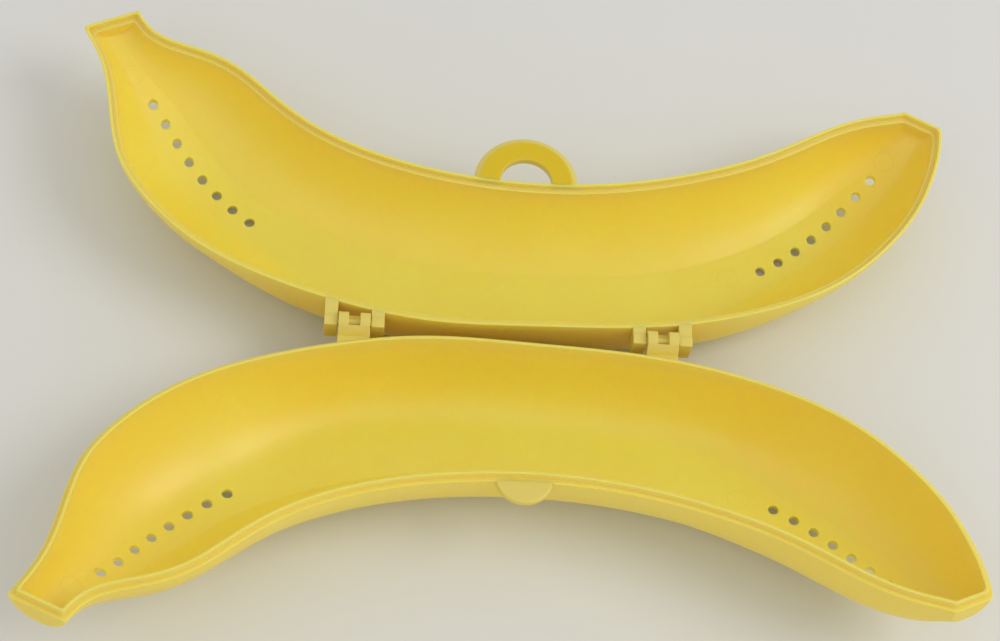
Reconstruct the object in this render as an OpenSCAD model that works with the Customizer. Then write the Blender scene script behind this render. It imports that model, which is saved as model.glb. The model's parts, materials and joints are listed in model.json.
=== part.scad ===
// Banana carrying case: two bowed half shells that close like a clamshell.
// The hinge line runs along X. The base lies towards -Y and the lid towards +Y, open as far as they go.
// Each shell is drawn in its own frame: x along the hinge line, y away from the hinge pin,
// z = 0 at the plane where the closed shells meet, and the hollow below it.

/* [Shell] */
// Length of the case along the hinge line
case_length = 260; // [220:1:300]
// Rise of the stem end above the middle of the case
case_bow = 71; // [50:1:90]
// Greatest width across the case
case_width = 52.5; // [46:0.5:60]
// Depth of each shell
shell_depth = 26; // [20:0.5:32]
// Thickness of the shell wall at the rim
wall = 2.4; // [2:0.1:3]
// Thickness of the shell's floor
floor_thick = 1.5; // [1.2:0.1:2.4]
// Share of the section's depth at which the rounded floor is cut flat
floor_cut = 0.96; // [0.9:0.01:1]
// Fullness of the wall next to the hinge towards the ends, 2 is an ellipse
hinge_wall_fullness = 1.85; // [1.8:0.05:2.4]
// Fullness of the wall next to the hinge in the middle of the case
hinge_middle_fullness = 3.3; // [1.8:0.05:4]
// Fullness of the inner curve's wall, 2 is an ellipse
inner_wall_fullness = 1.9; // [1.7:0.05:2.4]
// Fullness of the inner curve's wall at the blossom end
blossom_wall_fullness = 2.8; // [1.8:0.05:3]

/* [Rim] */
// Width of the step outside the base's tongue
step_width = 1.2; // [0.9:0.05:1.4]
// Height of the tongue above the step
tongue_height = 1.6; // [1.2:0.1:2]
// How far the tongue's outer face leans in at its top
tongue_draft = 0.3; // [0.2:0.05:0.4]
// Gap between the closed rims
rim_gap = 0.3; // [0.2:0.05:0.4]

/* [Vents] */
// Diameter of a vent hole
vent_d = 3; // [2:0.1:4]
// Distance between vent holes
vent_pitch = 6.5; // [5:0.1:8]
// Vent holes in each row
vent_count = 8; // [1:1:10]
// First vent hole from the stem end, along the middle of the floor
stem_vent_start = 24.5; // [18:0.5:32]
// First vent hole from the blossom end
blossom_vent_start = 18.5; // [16:0.5:28]
// How far the stem end's row stands off the middle line, towards the inner curve
stem_vent_shift = -1.2; // [-3:0.1:3]
// How far the blossom end's first hole stands off the middle line, towards the inner curve
blossom_vent_shift = 3; // [-3:0.1:4]
// How much closer to the hinge each next hole of the blossom end's row stands
blossom_vent_drift = 0.6; // [0:0.05:1]

/* [Hinge] */
// Distance between the middles of the two hinges
hinge_spacing = 88; // [70:1:100]
// Distance from the pin's axis to the rim at the middle of the case
rim_to_pin = 2.3; // [2:0.1:3]
// Height of the pin's axis above the base's rim
pin_rise = 0.8; // [0.5:0.05:0.9]
// Diameter of the hinge pin
pin_d = 2.2; // [1.8:0.1:2.4]
// Radial clearance of the clip on the pin
pin_clearance = 0.05; // [0.02:0.01:0.1]
// Width of the clip on the pin
clip_width = 9; // [7:0.5:11]
// Width of the window between the clip's two hooks
clip_window = 3.2; // [2:0.1:4]
// Thickness of a hook round the pin
hook_wall = 1.9; // [1.5:0.1:2]
// Mouth of a hook, narrower than the pin
hook_mouth = 1.7; // [1.4:0.1:1.8]
// Depth of the clip's arm below the rim, at the wall
arm_depth = 5; // [4:0.5:7]
// Width of one lug
lug_width = 3.7; // [2.5:0.1:5]
// How far a lug reaches past the pin's axis
lug_reach = 1.5; // [1.3:0.1:1.8]
// Plastic left over the pin at the top of a lug
lug_cover = 0.2; // [0.1:0.05:0.3]
// Depth of a lug's square end below the rim
lug_end_depth = 7.2; // [4:0.1:8]
// Depth of a lug below the rim, at the wall
lug_depth = 7; // [4:0.5:7]
// Side gap between a lug and the clip
lug_gap = 0.3; // [0.2:0.05:0.5]
// Angle left between the open lid and flat
open_stop = 10; // [6:1:14]

/* [Tab and loop] */
// Place of the tab and the loop along the hinge line
catch_x = 4.2; // [-4:0.1:10]
// Radius of the finger tab
tab_r = 7.9; // [6:0.1:9]
// Thickness of the finger tab
tab_thick = 1.8; // [1.4:0.1:2.4]
// How far the tab's middle is set into the wall
catch_inset = 1.2; // [0.5:0.1:2]
// How far the loop's middle is set into the wall
loop_inset = 0; // [-0.5:0.1:2]
// Radius of the loop's hole
loop_hole_r = 7.7; // [6:0.1:9]
// Width of the loop's band
loop_band = 7.7; // [5:0.1:9]
// Thickness of the carry loop
loop_thick = 2.6; // [2:0.1:3.5]
// Height of the bevel round the loop's edge
loop_bevel = 1; // [0.4:0.1:1]
// Width of the bevel round the loop's edge
loop_bevel_width = 2; // [0.4:0.1:3]

/* [Hidden] */
$fn = 64;
shell_yellow = [0.84, 0.70, 0.14];
trim_yellow = [0.88, 0.76, 0.24];

// Ribs across the case at its drawn size, from the stem end to the blossom end:
// x of the rib's middle, its rise above the middle of the case, the rib's lean in degrees,
// its width and its depth
drawn_ribs = [
    [-121.4, 71, 64.5, 17.2, 7],
    [-115, 61.2, 53, 19.6, 11],
    [-105, 49.5, 48.5, 36.5, 17.5],
    [-98, 40, 47, 47, 21],
    [-90, 30.5, 44, 51, 24],
    [-75, 18, 36, 52.5, 25.5],
    [-50, 7, 21, 51, 26.2],
    [-23, 1, 8, 50, 26.2],
    [8, 0, 0, 47.5, 26.2],
    [40, 2.5, -10, 48.5, 26.2],
    [65, 8.5, -18, 49, 26.2],
    [85, 17, -27, 47.5, 25.5],
    [101, 28.5, -34.5, 42.5, 23.5],
    [112, 38.5, -38, 35, 20],
    [120, 46.5, -41, 24.5, 15],
    [125.5, 55, -62.5, 12, 7]
];
middle_rib = 8;
last_rib = len(drawn_ribs) - 1;

// Sizes that the ribs are drawn at; the floor is a little shallower than the deepest ribs, so it is flat
function end_reach(r) = abs(r[0]) + sin(abs(r[2])) * r[3] / 2;
drawn_length = end_reach(drawn_ribs[0]) + end_reach(drawn_ribs[last_rib]);
drawn_bow = drawn_ribs[0][1];
drawn_width = max([for (r = drawn_ribs) r[3]]);
drawn_depth = floor(drawn_ribs[middle_rib][4]);

// Ribs at the size that is set, with y measured from the pin's axis
middle_width = drawn_ribs[middle_rib][3] * case_width / drawn_width;
ribs = [for (r = drawn_ribs) [
    r[0] * case_length / drawn_length,
    r[1] * case_bow / drawn_bow + rim_to_pin + middle_width / 2,
    r[2],
    r[3] * case_width / drawn_width,
    r[4] * shell_depth / drawn_depth
]];

// Natural cubic spline through the ribs, over the distance along their middles
function step_length(i) = norm([ribs[i + 1][0] - ribs[i][0], ribs[i + 1][1] - ribs[i][1]]);
function distance_to(i) = i == 0 ? 0 : distance_to(i - 1) + step_length(i - 1);
knots = [for (i = [0:last_rib]) distance_to(i)];
spine_length = knots[last_rib];
no_bend = [0, 0, 0, 0, 0];
function sweep(i) =
    i == 0 ? [0, no_bend] :
    let (
        before = sweep(i - 1),
        h0 = step_length(i - 1),
        h1 = step_length(i),
        change = 6 * ((ribs[i + 1] - ribs[i]) / h1 - (ribs[i] - ribs[i - 1]) / h0),
        pivot = 2 * (h0 + h1) - h0 * before[0]
    )
    [h1 / pivot, (change - h0 * before[1]) / pivot];
function bend(i) =
    i == 0 || i == last_rib ? no_bend :
    let (row = sweep(i))
    row[1] - row[0] * bend(i + 1);
bends = [for (i = [0:last_rib]) bend(i)];
function knot_before(t) = min(last_rib - 1, len([for (k = knots) if (k <= t) k]) - 1);
function rib_at(t) =
    let (
        i = knot_before(t),
        h = step_length(i),
        a = knots[i + 1] - t,
        b = t - knots[i]
    )
    bends[i] * pow(a, 3) / (6 * h) + bends[i + 1] * pow(b, 3) / (6 * h)
    + (ribs[i] / h - bends[i] * h / 6) * a + (ribs[i + 1] / h - bends[i + 1] * h / 6) * b;

// Rib positions of the shell's mesh and points across each rib
station_count = 48;
point_count = 23;
last_station = station_count - 1;
last_point = point_count - 1;
sampled = [for (i = [0:last_station]) rib_at(spine_length * i / last_station)];
function half_rib(r) = [sin(r[2]), cos(r[2])] * r[3] / 2;
hinge_rim = [for (r = sampled) [r[0], r[1]] - half_rib(r)];
inner_rim = [for (r = sampled) [r[0], r[1]] + half_rib(r)];

// Shares of the length over which the hinge wall fills out from the stem end
// and falls back towards the blossom end
fill_out = [0.24, 0.38];
fall_back = [0.67, 0.81];
function part_way(share, span) = max(0, min(1, (share - span[0]) / (span[1] - span[0])));
function eased(share, span) =
    let (way = part_way(share, span))
    way * way * (3 - 2 * way);
function hinge_fullness(share) =
    hinge_wall_fullness + (hinge_middle_fullness - hinge_wall_fullness)
    * (eased(share, fill_out) - eased(share, fall_back));

// Section from the hinge side, across = -1, to the inner curve, across = 1:
// a full ellipse cut flat at the floor
fullness_start = 0.7;
function inner_fullness(share) =
    inner_wall_fullness + (blossom_wall_fullness - inner_wall_fullness)
    * max(0, (share - fullness_start) / (1 - fullness_start));
function fullness(angle, share) = angle < 90 ? hinge_fullness(share) : inner_fullness(share);
function across(angle, share) =
    -sign(cos(angle)) * pow(abs(cos(angle)), 2 / fullness(angle, share));
function sunk(angle, share) =
    min(1, pow(abs(sin(angle)), 2 / fullness(angle, share)) / floor_cut);

// One rib's points between two rim points, from the rim height down to the depth
function section(a, b, top, depth, share) = [for (k = [0:last_point])
    let (
        angle = 180 * k / last_point,
        side = (across(angle, share) + 1) / 2,
        fall = k == 0 || k == last_point ? 0 : sunk(angle, share)
    )
    concat(a + (b - a) * side, top - (top + depth) * fall)
];

// Closed outline of a rim, moved in by a distance with mitred corners
function outline() = concat(hinge_rim, [for (i = [last_station:-1:0]) inner_rim[i]]);
function inward(a, b) = let (d = (b - a) / norm(b - a)) [-d[1], d[0]];
function moved_in(loop, distance) = [for (i = [0:len(loop) - 1])
    let (
        n = len(loop),
        n1 = inward(loop[(i + n - 1) % n], loop[i]),
        n2 = inward(loop[i], loop[(i + 1) % n])
    )
    loop[i] + distance * (n1 + n2) / (1 + n1 * n2)
];
function at_height(loop, z) = [for (p = loop) concat(p, z)];

rim_top = -rim_gap / 2;
outer_depths = [for (r = sampled) min(r[4], shell_depth)];
outer_grid = [for (i = [0:last_station])
    each section(hinge_rim[i], inner_rim[i], rim_top, outer_depths[i], i / last_station)];

// Triangles of a skin of ribs, each a row of points, and of the flat end at one rib
function skin_faces(start, rows, row_points, flip) = [for (i = [0:rows - 2]) for (k = [0:row_points - 2])
    let (
        a = start + i * row_points + k,
        b = a + row_points
    )
    each flip ? [[a, a + 1, b + 1], [a, b + 1, b]] : [[a, b + 1, a + 1], [a, b, b + 1]]
];
function end_faces(start, row_points, flip) = [for (k = [1:row_points - 2])
    flip ? [start, start + k + 1, start + k] : [start, start + k, start + k + 1]
];
function closed_skin(start, rows, row_points, flip) = concat(
    skin_faces(start, rows, row_points, flip),
    end_faces(start, row_points, flip),
    end_faces(start + (rows - 1) * row_points, row_points, !flip)
);

// A shell as one closed solid: outer skin, inner skin, and rim rings from the outside in
rim_count = 2 * station_count;
skin_count = station_count * point_count;
function skin_edge(start, j) =
    j < station_count ? start + j * point_count :
    start + (rim_count - 1 - j) * point_count + last_point;
function ring_index(ring, j, rings) =
    ring == 0 ? skin_edge(0, j) :
    ring == rings + 1 ? skin_edge(skin_count, j) :
    2 * skin_count + (ring - 1) * rim_count + j;
function ring_faces(rings) = [for (ring = [0:rings]) for (j = [0:rim_count - 1])
    let (
        next = (j + 1) % rim_count,
        a = ring_index(ring, j, rings),
        b = ring_index(ring, next, rings),
        c = ring_index(ring + 1, next, rings),
        d = ring_index(ring + 1, j, rings)
    )
    each [[a, c, b], [a, d, c]]
];

module shell_solid(ring_insets, ring_heights, inner_top) {
    inside = moved_in(outline(), wall);
    inner_grid = [for (i = [0:last_station]) each section(
        inside[i], inside[rim_count - 1 - i], inner_top, outer_depths[i] - floor_thick, i / last_station)];
    rings = len(ring_insets);
    ring_points = [for (r = [0:rings - 1])
        each at_height(moved_in(outline(), ring_insets[r]), ring_heights[r])];
    polyhedron(
        points = concat(outer_grid, inner_grid, ring_points),
        faces = concat(
            closed_skin(0, station_count, point_count, false),
            closed_skin(skin_count, station_count, point_count, true),
            ring_faces(rings)
        )
    );
}

// The space inside the outer skin between two stations, carried up past the rim
plug_rise = 1;
module skin_plug(first, last) {
    rows = last - first + 1;
    row_points = point_count + 2;
    far = row_points - 1;
    points = [for (i = [first:last]) each concat(
        [concat(hinge_rim[i], rim_top + plug_rise)],
        [for (k = [0:last_point]) outer_grid[i * point_count + k]],
        [concat(inner_rim[i], rim_top + plug_rise)]
    )];
    top = [for (i = [0:rows - 2])
        let (
            a = i * row_points,
            b = a + row_points
        )
        each [[a, a + far, b + far], [a, b + far, b]]
    ];
    polyhedron(points = points, faces = concat(closed_skin(0, rows, row_points, false), top));
}

// Cuts what is set on the wall back to the outer skin, over a stretch of the rim
function stations_below(loop, x) = len([for (p = loop) if (p[0] < x) p]);
module wall_cut(loop, x0, x1) {
    skin_plug(max(0, stations_below(loop, x0) - 2), min(last_station, stations_below(loop, x1) + 1));
}

module vents() {
    for (k = [0:vent_count - 1]) {
        vent(stem_vent_start + k * vent_pitch, stem_vent_shift);
        vent(
            spine_length - blossom_vent_start - k * vent_pitch,
            blossom_vent_shift - k * blossom_vent_drift
        );
    }
}

vent_overrun = 2;
module vent(t, shift) {
    r = rib_at(t);
    floor_z = -min(r[4], shell_depth);
    translate([r[0] + shift * sin(r[2]), r[1] + shift * cos(r[2]), floor_z - vent_overrun])
        cylinder(d = vent_d, h = floor_thick + 3 * vent_overrun);
}

// Standing place: both shells touch the table, with the open stop shared out between them
function low_point(tilt, shift) =
    min([for (p = outer_grid) p[1] * sin(tilt) + (p[2] + shift) * cos(tilt)]);
function level_tilt(low, high, tries) =
    let (
        tilt = (low + high) / 2,
        base_is_lower = low_point(tilt, -pin_rise) < low_point(open_stop - tilt, pin_rise)
    )
    tries == 0 ? tilt :
    base_is_lower ? level_tilt(tilt, high, tries - 1) : level_tilt(low, tilt, tries - 1);
tilt_try_count = 14;
base_tilt = level_tilt(0, open_stop, tilt_try_count);
lid_tilt = open_stop - base_tilt;
pin_height = -low_point(base_tilt, -pin_rise);

// Middle of the open case's box, which is set over the origin
all_x = [for (p = outer_grid) p[0]];
middle_x = (min(all_x) + max(all_x)) / 2;
base_reach = max([for (p = outer_grid) p[1] * cos(base_tilt) - (p[2] - pin_rise) * sin(base_tilt)]);
tongue_reach = max([for (p = moved_in(outline(), step_width + tongue_draft))
    p[1] * cos(base_tilt) - (tongue_height - pin_rise) * sin(base_tilt)]);
lid_reach = max([for (p = outer_grid) p[1] * cos(lid_tilt) - (p[2] + pin_rise) * sin(lid_tilt)]);
middle_y = (lid_reach - max(base_reach, tongue_reach)) / 2;

module in_pin_frame() {
    translate([-middle_x, -middle_y, pin_height]) children();
}
module in_base() {
    in_pin_frame() rotate([-base_tilt, 0, 0]) translate([0, 0, -pin_rise]) mirror([0, 1, 0]) children();
}
module in_lid() {
    in_pin_frame() rotate([lid_tilt, 0, 0]) translate([0, 0, pin_rise]) children();
}

module base_shell() {
    color(shell_yellow) in_base() difference() {
        shell_solid(
            [step_width, step_width + tongue_draft],
            [rim_top, tongue_height],
            tongue_height
        );
        vents();
    }
}

lip_width = step_width - rim_gap;
rebate_z = -tongue_height - rim_gap;
module lid_shell() {
    color(shell_yellow) in_lid() difference() {
        shell_solid([lip_width, lip_width], [rim_top, rebate_z], rebate_z);
        vents();
    }
}

rim_y = lookup(catch_x, inner_rim);
catch_y = rim_y - catch_inset;
loop_y = rim_y - loop_inset;
loop_r = loop_hole_r + loop_band;
module finger_tab() {
    color(trim_yellow) in_base() difference() {
        translate([catch_x, catch_y, rim_top - tab_thick]) cylinder(r = tab_r, h = tab_thick);
        wall_cut(inner_rim, catch_x - tab_r, catch_x + tab_r);
    }
}

module carry_loop() {
    color(trim_yellow) in_lid() difference() {
        translate([catch_x, loop_y, rim_top - loop_thick]) {
            cylinder(r = loop_r, h = loop_thick - loop_bevel);
            translate([0, 0, loop_thick - loop_bevel])
                cylinder(r1 = loop_r, r2 = loop_r - loop_bevel_width, h = loop_bevel);
        }
        translate([catch_x, loop_y, rim_top - 2 * loop_thick]) cylinder(r = loop_hole_r, h = 3 * loop_thick);
        wall_cut(inner_rim, catch_x - loop_r, catch_x + loop_r);
    }
}

// Sideways extrusion of a profile drawn in y and z, from x = 0 to the width
module along_x(width) {
    rotate([90, 0, 90]) linear_extrude(height = width) children();
}

// Where a root on the hinge wall ends, inside the wall, for a piece between two places along the hinge line
function root_end(x0, x1) = max(lookup(x0, hinge_rim), lookup(x1, hinge_rim)) + wall;

hook_r = pin_d / 2 + pin_clearance + hook_wall;
// The arm's top leaves the hook at this angle above level and runs straight down to the rim
ramp_angle = 30;
ramp_y = hook_r * cos(ramp_angle);
ramp_z = pin_rise + hook_r * sin(ramp_angle);
ramp_foot = ramp_y + (ramp_z - rim_top) * tan(ramp_angle);
// A round bar along X through the pin's axis, in the base's frame
module pin_bar(r, x0, x1) {
    translate([x0, 0, pin_rise]) rotate([0, 90, 0]) cylinder(r = r, h = x1 - x0);
}
module hinge_clip(hinge_x) {
    x0 = hinge_x - clip_width / 2;
    x1 = hinge_x + clip_width / 2;
    root_y = root_end(x0, x1);
    difference() {
        union() {
            pin_bar(hook_r, x0, x1);
            translate([x0, 0, 0]) along_x(clip_width) polygon([
                [0, pin_rise],
                [ramp_y, ramp_z],
                [ramp_foot, rim_top],
                [max(root_y, ramp_foot + wall), rim_top],
                [max(root_y, ramp_foot + wall), -arm_depth],
                [pin_d / 2, pin_rise - hook_r + hook_wall / 2]
            ]);
        }
        pin_bar(pin_d / 2 + pin_clearance, x0 - lug_gap, x1 + lug_gap);
        translate([x0 - lug_gap, -hook_mouth / 2, pin_rise - 2 * hook_r])
            cube([clip_width + 2 * lug_gap, hook_mouth, 2 * hook_r]);
        translate([hinge_x - clip_window / 2, -2 * hook_r, pin_rise - pin_d / 4])
            cube([clip_window, 2 * hook_r + rim_to_pin, 2 * hook_r]);
        wall_cut(hinge_rim, x0, x1);
    }
}

lug_top = -pin_rise + pin_d / 2 + lug_cover;
module hinge_lugs(hinge_x) {
    inner_x = clip_width / 2 + lug_gap;
    hinge_lug(hinge_x - inner_x - lug_width);
    hinge_lug(hinge_x + inner_x);
}
module hinge_lug(left_x) {
    root_y = root_end(left_x, left_x + lug_width);
    difference() {
        translate([left_x, 0, 0]) along_x(lug_width) polygon([
            [-lug_reach, lug_top],
            [pin_d / 2, lug_top],
            [rim_to_pin, rim_top],
            [root_y, rim_top],
            [root_y, -lug_depth],
            [-lug_reach, -lug_end_depth]
        ]);
        wall_cut(hinge_rim, left_x, left_x + lug_width);
    }
}

module hinge_pin(hinge_x) {
    length = clip_width + 2 * lug_gap;
    translate([hinge_x - length / 2, 0, -pin_rise]) rotate([0, 90, 0]) cylinder(d = pin_d, h = length);
}

hinge_x = hinge_spacing / 2;
module hinge_clip_left() { color(trim_yellow) in_base() hinge_clip(-hinge_x); }
module hinge_clip_right() { color(trim_yellow) in_base() hinge_clip(hinge_x); }
module hinge_lugs_left() { color(trim_yellow) in_lid() hinge_lugs(-hinge_x); }
module hinge_lugs_right() { color(trim_yellow) in_lid() hinge_lugs(hinge_x); }
module hinge_pin_left() { color(trim_yellow) in_lid() hinge_pin(-hinge_x); }
module hinge_pin_right() { color(trim_yellow) in_lid() hinge_pin(hinge_x); }

base_shell();
finger_tab();
hinge_clip_left();
hinge_clip_right();
lid_shell();
carry_loop();
hinge_lugs_left();
hinge_lugs_right();
hinge_pin_left();
hinge_pin_right();
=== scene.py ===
import json
import math

import bmesh
import bpy
import numpy as np
from mathutils import Matrix


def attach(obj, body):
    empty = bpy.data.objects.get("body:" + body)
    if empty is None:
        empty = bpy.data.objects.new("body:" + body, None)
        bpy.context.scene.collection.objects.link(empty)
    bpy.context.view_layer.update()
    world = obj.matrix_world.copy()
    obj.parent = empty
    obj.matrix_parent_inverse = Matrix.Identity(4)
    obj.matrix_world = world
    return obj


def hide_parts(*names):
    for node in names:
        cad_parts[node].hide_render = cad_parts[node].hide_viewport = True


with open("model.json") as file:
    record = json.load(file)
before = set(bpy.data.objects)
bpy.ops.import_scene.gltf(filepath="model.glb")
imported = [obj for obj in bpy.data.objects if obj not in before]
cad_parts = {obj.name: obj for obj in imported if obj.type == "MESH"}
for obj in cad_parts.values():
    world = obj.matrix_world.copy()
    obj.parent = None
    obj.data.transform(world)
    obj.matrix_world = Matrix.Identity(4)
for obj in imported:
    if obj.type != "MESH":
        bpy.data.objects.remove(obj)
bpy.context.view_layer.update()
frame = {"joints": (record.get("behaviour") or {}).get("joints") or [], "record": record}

# Carrying case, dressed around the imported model. Shapes are worked out in millimetres in each shell's
# own frame: x along the hinge line, d away from the pin, z up from the plane where the closed shells meet.
record = frame["record"]
mm = 0.001

# The pin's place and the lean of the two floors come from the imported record
standing = {
    "pinRise": 0.8,  # pin above the base's rim, below the lid's
    "pin": np.array(frame["joints"][0]["pos_m"]) / mm,
    "floorAxis": {m["name"]: m["axis"] for m in record["mounts"]},
}


def placeBase(points):
    # d runs to -Y, and the base leans up away from the pin
    lean = math.asin(-standing["floorAxis"]["base_floor"][1])
    x, d, z = points[..., 0], points[..., 1], points[..., 2] - standing["pinRise"]
    y = z * math.sin(lean) - d * math.cos(lean)
    up = z * math.cos(lean) + d * math.sin(lean)
    return (np.stack([x, y, up], -1) + standing["pin"]) * mm


def placeLid(points):
    # d runs to +Y, and the lid leans up away from the pin
    lean = math.asin(standing["floorAxis"]["lid_floor"][1])
    x, d, z = points[..., 0], points[..., 1], points[..., 2] + standing["pinRise"]
    y = d * math.cos(lean) - z * math.sin(lean)
    up = d * math.sin(lean) + z * math.cos(lean)
    return (np.stack([x, y, up], -1) + standing["pin"]) * mm


caseForm = {
    # ribs across the case from stem end to blossom end:
    # x of the middle, rise over the middle rib, lean in degrees, width, depth
    "ribs": [
        (-121.4, 71, 64.5, 17.2, 7),
        (-115, 61.2, 53, 19.6, 11),
        (-105, 49.5, 48.5, 36.5, 17.5),
        (-98, 40, 47, 47, 21),
        (-90, 30.5, 44, 51, 24),
        (-75, 18, 36, 52.5, 25.5),
        (-50, 7, 21, 51, 26.2),
        (-23, 1, 8, 50, 26.2),
        (8, 0, 0, 47.5, 26.2),
        (40, 2.5, -10, 48.5, 26.2),
        (65, 8.5, -18, 49, 26.2),
        (85, 17, -27, 47.5, 25.5),
        (101, 28.5, -34.5, 42.5, 23.5),
        (112, 38.5, -38, 35, 20),
        (120, 46.5, -41, 24.5, 15),
        (125.5, 55, -62.5, 12, 7),
    ],
    "middleRib": 8,
    "rimToPin": 2.3,
    "depth": 26,
    "wall": 2.4,  # at the rim
    "floorThick": 1.5,
    "floorCut": 0.96,  # share of the ellipse's depth where the floor is flat
    "hingeBlend": 0.04,  # softness of the crease between wall and floor on the hinge side
    "innerBlend": 0.008,  # and on the inner side
    "hingeEndFullness": 1.85,  # 2 is an ellipse
    "hingeMiddleFullness": 3.3,
    "fillOut": (0.24, 0.38),  # shares of the length over which the hinge wall fills out
    "fallBack": (0.67, 0.81),  # and goes back
    "innerFullness": 1.9,
    "blossomFullness": 2.8,
    "blossomStart": 0.7,
    "endSearch": (14, 281),  # how far from an end a moved rim's own end is looked for, and in how many steps
    "slopeReach": 0.05,  # step on each side for the rim's direction
}

ribs = np.array(caseForm["ribs"], float)
ribs[:, 1] += caseForm["rimToPin"] + ribs[caseForm["middleRib"], 3] / 2
ribSteps = np.hypot(np.diff(ribs[:, 0]), np.diff(ribs[:, 1]))
knots = np.concatenate([[0], np.cumsum(ribSteps)])
spineLength = knots[-1]


def naturalBends(steps, rows):
    # second derivatives of a natural cubic spline: each inner knot evens the slopes on its two sides
    count = len(rows)
    inner = np.arange(1, count - 1)
    balance = np.eye(count)
    balance[inner, inner - 1] = steps[:-1]
    balance[inner, inner] = 2 * (steps[:-1] + steps[1:])
    balance[inner, inner + 1] = steps[1:]
    change = np.zeros_like(rows)
    change[1:-1] = 6 * np.diff(np.diff(rows, axis=0) / steps[:, None], axis=0)
    return np.linalg.solve(balance, change)


bends = naturalBends(ribSteps, ribs)


def ribAt(t):
    # the spline's row at distance t along the spine: a cubic between the two knots beside it
    i = np.clip(np.searchsorted(knots, t, side="right") - 1, 0, len(knots) - 2)
    h = ribSteps[i][..., None]
    a = (knots[i + 1] - t)[..., None]
    b = (t - knots[i])[..., None]
    curved = (bends[i] * a**3 + bends[i + 1] * b**3) / (6 * h)
    return curved + (ribs[i] / h - bends[i] * h / 6) * a + (ribs[i + 1] / h - bends[i + 1] * h / 6) * b


def rimsAt(t):
    # hinge rim and inner rim: the rib's middle less and plus half a width along the rib's lean
    rib = ribAt(t)
    lean = np.radians(rib[..., 2])
    half = np.stack([np.sin(lean), np.cos(lean)], -1) * rib[..., 3:4] / 2
    return rib[..., :2] - half, rib[..., :2] + half


def rimMovedIn(t, inset, side):
    # side 0 is the hinge rim and 1 the inner rim; the normal comes from a central difference
    reach = caseForm["slopeReach"]
    along = rimsAt(t + reach)[side] - rimsAt(t - reach)[side]
    along /= np.linalg.norm(along, axis=-1, keepdims=True)
    normal = np.stack([-along[..., 1], along[..., 0]], -1)
    return rimsAt(t)[side] + inset * normal * (1 - 2 * side)


def insetSpan(inset, side):
    # first and last distance at which a moved rim is as far from the end lines as from its own rim
    ends = np.array([0.0, spineLength])
    hingeEnds, innerEnds = rimsAt(ends)
    farthest, count = caseForm["endSearch"]
    near = np.linspace(0, farthest, count)
    span = []
    for end, sign in ((0, 1), (1, -1)):
        across = innerEnds[end] - hingeEnds[end]
        inward = sign * np.array([across[1], -across[0]]) / np.linalg.norm(across)
        t = ends[end] + sign * near
        gap = (rimMovedIn(t, inset, side) - hingeEnds[end]) @ inward - inset
        span.append(np.interp(0, gap, t))
    return span


def insetRims(inset, share):
    # both rims moved in, at shares of their length between the moved ends, and the depth there
    (h0, h1), (i0, i1) = insetSpan(inset, 0), insetSpan(inset, 1)
    hingeT = h0 + (h1 - h0) * share
    innerT = i0 + (i1 - i0) * share
    depth = np.minimum(ribAt((hingeT + innerT) / 2)[..., 4], caseForm["depth"])
    return rimMovedIn(hingeT, inset, 0), rimMovedIn(innerT, inset, 1), depth


def eased(share, span):
    # 0 before the span, 1 past it, and 3w^2 - 2w^3 of the way w between
    way = np.clip((share - span[0]) / (span[1] - span[0]), 0, 1)
    return way * way * (3 - 2 * way)


def sectionPowers(share):
    # fullness of the section on the hinge side and on the inner side
    filled = eased(share, caseForm["fillOut"]) - eased(share, caseForm["fallBack"])
    hingePower = caseForm["hingeEndFullness"] * (1 - filled) + caseForm["hingeMiddleFullness"] * filled
    past = np.clip((share - caseForm["blossomStart"]) / (1 - caseForm["blossomStart"]), 0, None)
    growth = caseForm["blossomFullness"] - caseForm["innerFullness"]
    return hingePower, caseForm["innerFullness"] + growth * past


def creasesAt(share):
    # across at which each side's curve meets the floor, (1 - cut^n)^(1/n)
    return [(1 - caseForm["floorCut"] ** power) ** (1 / power) for power in sectionPowers(share)]


def skinPoints(share, across, inset, top):
    # a superellipse from rim to rim, |across|^n + |fall|^n = 1, cut flat at the floor with a soft crease
    hinge, inner, depth = insetRims(inset, share)
    hingePower, innerPower = sectionPowers(share)
    power = np.where(across < 0, hingePower, innerPower)
    sunk = np.clip(1 - np.abs(across) ** power, 0, None) ** (1 / power) / caseForm["floorCut"]
    soft = np.where(across < 0, caseForm["hingeBlend"], caseForm["innerBlend"])
    fall = np.minimum(1, sunk) - np.clip(soft - np.abs(1 - sunk), 0, None) ** 2 / (4 * soft)
    plan = (hinge + inner) / 2 + (inner - hinge) / 2 * across[..., None]
    lift = inset * caseForm["floorThick"] / caseForm["wall"]
    z = top - (top + depth - lift) * fall
    return np.concatenate([plan, z[..., None]], -1)


ventForm = {
    "radius": 1.5,
    "pitch": 6.5,
    "count": 8,
    "stemStart": 24.5,
    "blossomStart": 18.5,
    "stemShift": -1.2,  # off the middle line, more than 0 is towards the inner curve
    "blossomShift": 3.0,
    "blossomDrift": 0.6,  # how much less each next hole is shifted
    "evenRun": 1.7,  # the shift is even this far on each side of a hole
    "blockHalf": 1.33,  # half of the grid's square that a hole opens
    "blockCells": 6,
    "betweenCells": 5,
    "endCells": (20, 16),
    "middleCells": 110,
    "blockAcross": 0.062,
    "creaseAcross": 0.03,  # half of the band of cells along a crease
    "columnCells": (15, 4, 8),  # wall, crease, floor
    "reach": 2.2,  # how many block halves out the grid gives way
    "newtonSteps": 5,
    "newtonShare": 1e-4,  # step along the case for a slope
    "least": 1e-6,  # in place of 0 at a hole's middle
}

ventRow = np.arange(ventForm["count"]) * ventForm["pitch"]
ventDistances = np.concatenate([
    ventForm["stemStart"] + ventRow,
    (spineLength - ventForm["blossomStart"] - ventRow)[::-1],
])
ventShifts = np.concatenate([
    np.full(ventForm["count"], ventForm["stemShift"]),
    (ventForm["blossomShift"] - ventForm["blossomDrift"] * np.arange(ventForm["count"]))[::-1],
])


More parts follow.
